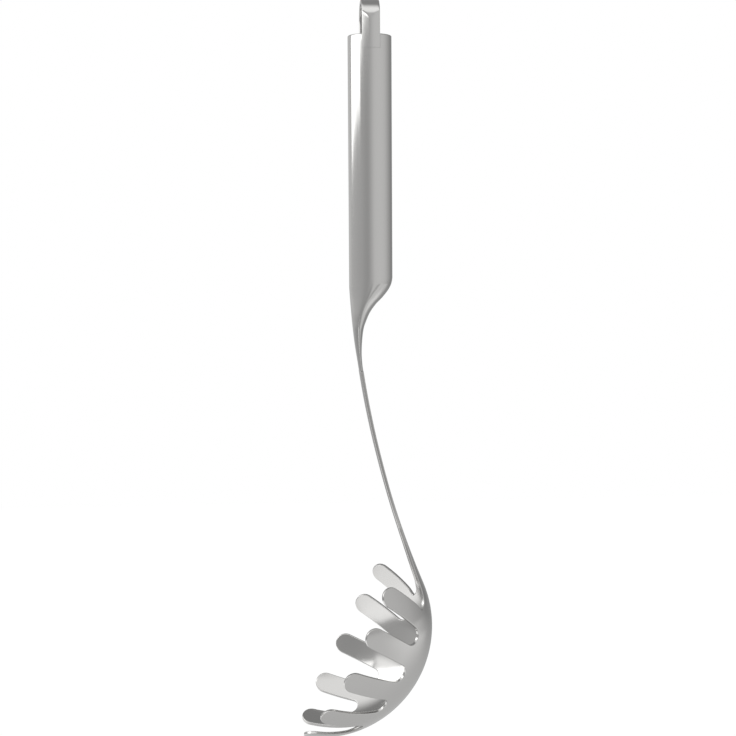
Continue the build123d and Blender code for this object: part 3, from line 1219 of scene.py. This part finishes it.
@dataclass(frozen=True)
class Floor:
    """Pale floor, nearly white to the camera, with a soft shadow. Its sizes are in metres.

    The steel mirrors it as painted light and shade that the camera does not see: painted shade, a grey that
    darkens to the back, with darker far ends on the left and in front, a painted white highlight patch on the
    right and a painted glow brighter than white on the left, which lies between two slanting lines. From
    below the floor is clear and hides nothing.
    """

    level: float = -0.36
    size: float = 1.6
    paint: float = 0.9
    glow: float = 1.06
    glow_share: float = 0.87
    # Painted light and shade, seen only in the steel's reflections: a grey that darkens to the back, darker
    # far ends, a white highlight patch and a glow brighter than white.
    fall: Fade = Fade((-0.25, 1.0, 0.0), offset=0.5, ramp=Ramp(
        ((0.4, 0.8), (0.45, 0.76), (0.53, 0.66), (0.6, 0.55), (0.7, 0.44), (0.8, 0.37)), Blend.STRAIGHT,
    ))
    far_level: float = 0.48
    far: Ramp = Ramp(((0.48, 0.0), (0.62, 1.0)))
    painted_highlight_level: float = 1.0
    painted_highlight_x: float = 0.3
    painted_highlight_y: float = -0.05
    painted_highlight: Ramp = Ramp(((0.05, 1.0), (0.28, 0.0)))
    painted_glow_level: float = 1.43
    painted_glow_front: Fade = Fade((-1.35, 1.0, 0.0), Ramp(((0.41, 0.0), (0.48, 1.0))), offset=0.5)
    painted_glow_back: Fade = Fade((0.763, -0.646, 0.0), Ramp(((0.41, 0.0), (0.49, 1.0))), offset=0.673)
    painted_glow_near: Fade = Fade((-1.0, 0.2, 0.0), Ramp(((0.02, 0.0), (0.1, 0.8), (0.2, 1.0))))

    def mirrored(self, board: Board) -> Value:
        """Brightness of the floor's painted light and shade, seen only in the steel's reflections.

        Args:
            board: The floor's node board.

        Returns:
            Its strength, where 1 is white.
        """
        parts = board.split(board.node("ShaderNodeTexCoord").outputs["Object"])
        x, y, _ = parts
        # Painted shade that darkens to the back and at the far ends, then a painted white highlight patch and
        # a painted glow brighter than white.
        shade = self.fall.over(board, parts)
        shade = shade.toward(self.far_level, board.read(self.far, board.math("MAXIMUM", -x, -y)))
        apart = board.math("ABSOLUTE", x - self.painted_highlight_x) + board.math("ABSOLUTE", y - self.painted_highlight_y)
        shade = shade.toward(self.painted_highlight_level, board.read(self.painted_highlight, apart))
        painted_glow = self.painted_glow_front.over(board, parts) * self.painted_glow_back.over(board, parts)
        return shade.toward(self.painted_glow_level, painted_glow * self.painted_glow_near.over(board, parts))

    def material(self) -> Any:
        """Builds the floor's material: paint and glow to the camera, the painted light and shade to the
        steel's reflections.

        Returns:
            The new material.
        """
        made = bpy.data.materials.new("floor_white")
        made.use_nodes = True
        board = Board(made.node_tree)
        path = board.node("ShaderNodeLightPath")
        to_camera = Value(board, path.outputs["Is Camera Ray"])
        paint = board.node("ShaderNodeBsdfDiffuse", {}, {"Color": grey(self.paint)})
        glow = board.node("ShaderNodeEmission", {}, {"Color": grey(1.0), "Strength": self.glow})
        shown = board.mix(to_camera * self.glow_share, paint, glow)
        shade = self.mirrored(board)
        # Emission of the painted light and shade, shown to glossy rays only.
        mirrored = board.node("ShaderNodeEmission", {}, {"Color": grey(1.0), "Strength": shade})
        upper = board.mix(path.outputs["Is Glossy Ray"], shown, mirrored)
        below = board.node("ShaderNodeNewGeometry").outputs["Backfacing"]
        mixed = board.mix(below, upper, board.node("ShaderNodeBsdfTransparent"))
        board.node("ShaderNodeOutputMaterial", {}, {"Surface": mixed.outputs[0]})
        return made

    def lay(self) -> None:
        """Lays the floor, which is tied to no body of the construction."""
        half = self.size / 2
        corners = [(-half, -half), (half, -half), (half, half), (-half, half)]
        points = np.array([(x, y, self.level) for x, y in corners]) / MM
        made = make_object("floor", points, [[0, 1, 2, 3]])
        made.data.materials.append(self.material())


@dataclass(frozen=True)
class Room:
    """Walls and ceiling: light that changes softly with direction, and white to the camera.

    The walls' levels go round from the back, over the left at a quarter, the front at a half and the
    right at three quarters. The ceiling is brightest at the front left, and a window stands high on the
    left. Below eye level the walls are dim, but not on the right.
    """

    walls: Ramp = Ramp((
        (0.0, 0.5), (0.09, 0.7), (0.167, 0.62), (0.25, 0.57), (0.36, 0.51), (0.46, 0.46), (0.53, 0.68),
        (0.59, 0.76), (0.7, 0.73), (0.757, 0.61), (0.83, 0.42), (0.9, 0.32), (1.0, 0.5),
    ), Blend.CURVED)
    ceiling: Fade = Fade((-0.6, -0.8, 0.0), Ramp(((0.35, 0.27), (0.8, 1.0))), offset=0.5)
    ceiling_level: float = 1.25
    ceiling_edge: Fade = Fade((0.0, 0.2, 1.0), Ramp(((0.42, 0.0), (0.62, 1.0))))
    window_level: float = 1.4
    window_side: Fade = Fade((-1.0, 0.0, 0.0), Ramp(((0.7, 0.0), (0.78, 1.0))))
    window_sill: Fade = Fade((0.0, 0.0, 1.0), Ramp(((0.32, 0.0), (0.42, 1.0))))
    low_level: float = 0.42
    low_edge: Fade = Fade((0.0, 0.0, -1.0), Ramp(((0.06, 0.0), (0.13, 1.0))))
    low_side: Fade = Fade((1.0, 0.0, 0.0), Ramp(((0.1, 1.0), (0.25, 0.0))))

    def level(self, board: Board) -> Value:
        """Light that comes from each direction.

        Args:
            board: The world's node board.

        Returns:
            Its strength, where 1 is white.
        """
        parts = board.split(board.node("ShaderNodeTexCoord").outputs["Generated"])
        x, y, _ = parts
        turn = board.math("ARCTAN2", x, -y) * (0.5 / math.pi) + 0.5
        level = board.read(self.walls, turn)
        overhead = self.ceiling.over(board, parts) * self.ceiling_level
        level = level.toward(overhead, self.ceiling_edge.over(board, parts))
        window = self.window_side.over(board, parts) * self.window_sill.over(board, parts)
        level = level.toward(self.window_level, window)
        low = self.low_edge.over(board, parts) * self.low_side.over(board, parts)
        return level.toward(self.low_level, low)

    def light(self) -> None:
        """Makes the world and gives it to the scene."""
        world = bpy.data.worlds.new("room")
        bpy.context.scene.world = world
        world.use_nodes = True
        board = Board(world.node_tree)
        to_camera = Value(board, board.node("ShaderNodeLightPath").outputs["Is Camera Ray"])
        shown = to_camera + (1.0 - to_camera) * self.level(board)
        back = board.node("ShaderNodeBackground", {}, {"Color": grey(1.0), "Strength": shown})
        board.node("ShaderNodeOutputWorld", {}, {"Surface": back.outputs[0]})


@dataclass(frozen=True)
class Softbox:
    """Soft rectangular lamp, with its place, aim and size in metres, power in watts and roll in degrees."""

    name: str
    place: Point
    aim: Point
    size: tuple[float, float]
    power: float
    roll: float = 0.0

    def hang(self) -> None:
        """Hangs the lamp so that it faces its aim, turned by its roll about that way."""
        data = bpy.data.lights.new(self.name, "AREA")
        data.shape = "RECTANGLE"
        data.size, data.size_y = self.size
        data.energy = self.power
        made = bpy.data.objects.new(self.name, data)
        bpy.context.scene.collection.objects.link(made)
        made.location = self.place
        facing = (Vector(self.aim) - Vector(self.place)).to_track_quat("-Z", "Y")
        made.rotation_euler = (facing @ Quaternion((0.0, 0.0, 1.0), math.radians(self.roll))).to_euler()


@dataclass(frozen=True)
class Studio:
    """White room with soft light, and the camera."""

    camera: StudioCamera = StudioCamera()
    floor: Floor = Floor()
    room: Room = Room()
    lamps: tuple[Softbox, ...] = (
        Softbox("left_softbox", (-0.754, 0.192, 0.138), (-0.044, 0.896, 0.138), (1.185, 0.3), 1.78),
        Softbox("front_softbox", (-0.339, -0.543, 0.178), (0.0, 0.0, 0.178), (0.57, 0.18), 0.5, roll=6.0),
    )

    def build(self) -> None:
        """Builds the whole studio."""
        self.camera.set_up()
        self.floor.lay()
        self.room.light()
        for lamp in self.lamps:
            lamp.hang()
        bpy.context.scene.view_settings.view_transform = "Standard"


def main() -> None:
    """Builds the pieces in order, dresses them and sets up the studio."""
    logging.basicConfig(level=logging.INFO)
    for maker in (PressedHead(), HandleTube(), HangingLoop()):
        maker.dress(maker.build())
    SatinSteel("cap_satin", Grain.EVEN).cover(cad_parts["end_cap"])
    Studio().build()


if __name__ == "__main__":
    main()
